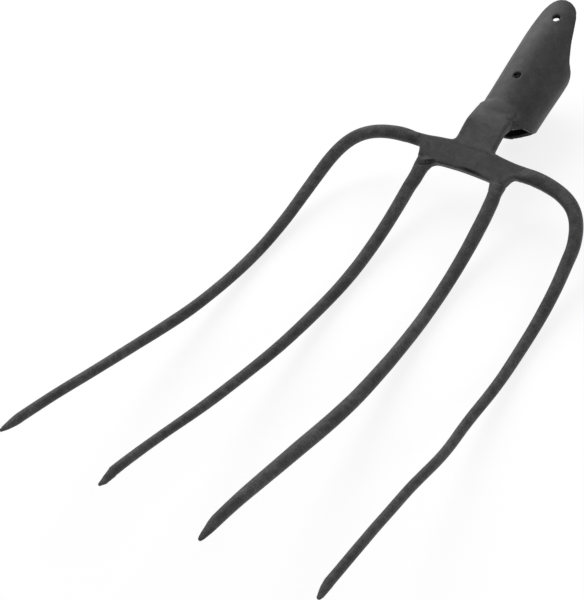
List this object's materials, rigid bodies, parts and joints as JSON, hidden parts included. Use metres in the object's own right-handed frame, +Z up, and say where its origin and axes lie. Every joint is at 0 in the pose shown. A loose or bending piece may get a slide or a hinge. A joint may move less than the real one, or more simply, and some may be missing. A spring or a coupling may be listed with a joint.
{
  "type": "garden fork head",
  "caption": "Forged head of a hand fork, without its handle: a rolled socket with a rounded tongue and nail holes, a flat neck, a crosshead and slender tines bent in a shallow S.",
  "frame": {"origin": "on the floor, under the middle of the head's length and width, as it lies at rest on the belly of its tines and the back of its socket's mouth", "axes": "+Z up with the tines' hollow side up, +Y along the head towards the socket's tongue, the tines' points towards -Y, +X to the right seen from above with the socket away from the viewer"},
  "size_m": [0.2125, 0.4224, 0.058],
  "materials": {
    "steel": "satin",
    "weld": "satin"
  },
  "bodies": {
    "root": {"socket": "steel", "crosshead": "steel", "tine_outer_left": "steel", "tine_inner_left": "steel", "tine_inner_right": "steel", "tine_outer_right": "steel", "weld_neck": "weld", "weld_outer_left": "weld", "weld_inner_left": "weld", "weld_inner_right": "weld", "weld_outer_right": "weld"}
  },
  "joints": []
}
